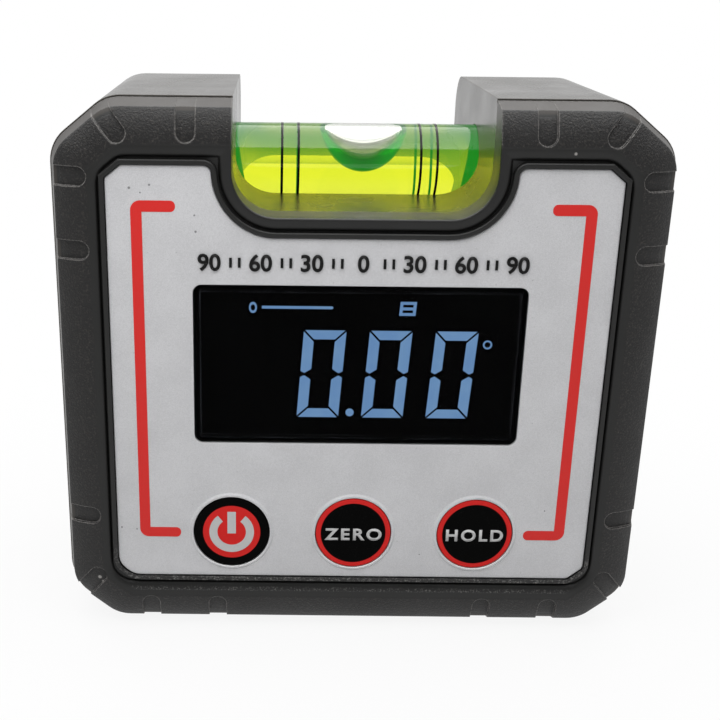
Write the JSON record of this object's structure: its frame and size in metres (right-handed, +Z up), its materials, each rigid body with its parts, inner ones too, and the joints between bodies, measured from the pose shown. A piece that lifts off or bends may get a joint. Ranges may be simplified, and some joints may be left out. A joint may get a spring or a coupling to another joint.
{
  "type": "digital spirit level",
  "caption": "Pocket digital spirit level: lit angle display, round keys, bubble vial in a notch through the top, base magnets and a rear battery door.",
  "frame": {"origin": "middle of the base, on the surface that the level stands on", "axes": "+Z up, X across the display with +X to the reader's right, +Y from the display to the back"},
  "size_m": [0.0616, 0.0318, 0.0567],
  "materials": {
    "front_abs": "fine spark-eroded moulded texture",
    "rear_abs": "fine moulded satin",
    "silver_film": "satin silver, fine speckle",
    "display_lens": "smoked clear, polished",
    "display_glass": "black, polished",
    "segment_light": "lit pale blue",
    "clear_acrylic": "clear, polished",
    "guide_acrylic": "milky, satin",
    "silicone": "matt grey",
    "board_laminate": "green solder mask",
    "chip_epoxy": "black moulding compound",
    "switch_metal": "tinned steel",
    "screw_steel": "zinc plated",
    "magnet_nickel": "bright nickel plate",
    "vial_liquid": "fluorescent yellow green",
    "vial_air": "clear",
    "ring_ink": "black ink",
    "red_ink": "red ink",
    "red_key": "red, satin",
    "black_key": "black, satin, red edge",
    "cell_wrap": "plain wrapped can",
    "contact_plate": "nickel plated spring strip"
  },
  "bodies": {
    "case": {"front_housing": "front_abs", "rear_housing": "rear_abs", "faceplate_film": "silver_film", "display_window": "display_lens", "lcd_glass": "display_glass", "lcd_segments": "segment_light", "light_guide": "guide_acrylic", "contact_strip": "silicone", "circuit_board": "board_laminate", "controller_chip": "chip_epoxy", "tilt_sensor": "chip_epoxy", "vial_tube": "clear_acrylic", "vial_plug": "clear_acrylic", "vial_liquid": "vial_liquid", "vial_rings": "ring_ink", "tactile_switches": "switch_metal", "board_screws": "screw_steel", "case_screws": "screw_steel", "base_magnets": "magnet_nickel", "panel_brackets": "red_ink", "battery_cell_lower": "cell_wrap", "battery_cell_upper": "cell_wrap", "battery_contact_left": "contact_plate", "battery_contacts_right": "contact_plate"},
    "power_button": {"power_button": "red_key"},
    "zero_button": {"zero_button": "black_key"},
    "hold_button": {"hold_button": "black_key"},
    "battery_door": {"battery_door": "rear_abs"},
    "vial_bubble": {"vial_bubble": "vial_air"}
  },
  "joints": [
    {"name": "power_press", "type": "slide", "parent": "case", "child": "power_button", "axis": [0, 1, 0], "range_m": [0, 0.0003], "stiffness_N_per_m": 1500},
    {"name": "zero_press", "type": "slide", "parent": "case", "child": "zero_button", "axis": [0, 1, 0], "range_m": [0, 0.0003], "stiffness_N_per_m": 1500},
    {"name": "hold_press", "type": "slide", "parent": "case", "child": "hold_button", "axis": [0, 1, 0], "range_m": [0, 0.0003], "stiffness_N_per_m": 1500},
    {"name": "door_off", "type": "slide", "parent": "case", "child": "battery_door", "axis": [0, 1, 0], "range_m": [0, 0.02]},
    {"name": "bubble_travel", "type": "slide", "parent": "case", "child": "vial_bubble", "axis": [1, 0, 0], "range_m": [-0.0088, 0.0077], "stiffness_N_per_m": 0.5, "deforming": ["vial_liquid"]}
  ]
}
